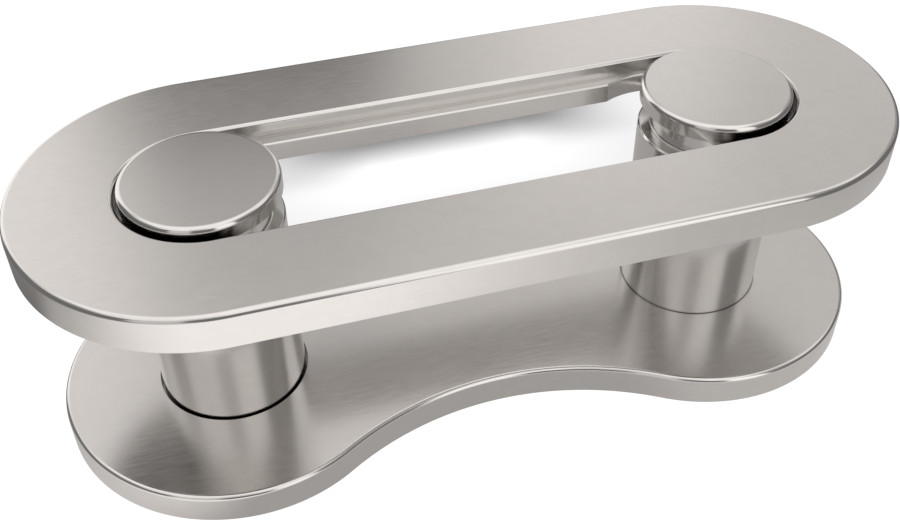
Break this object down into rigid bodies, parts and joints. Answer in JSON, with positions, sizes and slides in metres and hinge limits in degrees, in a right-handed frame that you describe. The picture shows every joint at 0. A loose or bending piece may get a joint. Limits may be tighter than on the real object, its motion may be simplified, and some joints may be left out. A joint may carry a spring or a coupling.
{
  "type": "roller chain connecting link",
  "caption": "Connecting link for a half-inch-pitch roller chain: a waisted pin plate with necked pins, held by a slotted ring cover plate with a keyhole.",
  "frame": {"origin": "midway between the pins, on the underside of the pin plate", "axes": "+X along the link from the left pin to the right pin, where the keyhole is; +Z from the pin plate up to the cover plate"},
  "size_m": [0.0214, 0.0088, 0.0069],
  "materials": {
    "plate_steel": "satin polished plate with bright edges",
    "pin_steel": "turned and polished, with bright chamfered rims",
    "cover_steel": "satin with a fine grain and bright edges"
  },
  "bodies": {
    "root": {"pin_plate": "plate_steel", "left_pin": "pin_steel", "right_pin": "pin_steel", "cover_plate": "cover_steel"}
  },
  "joints": []
}
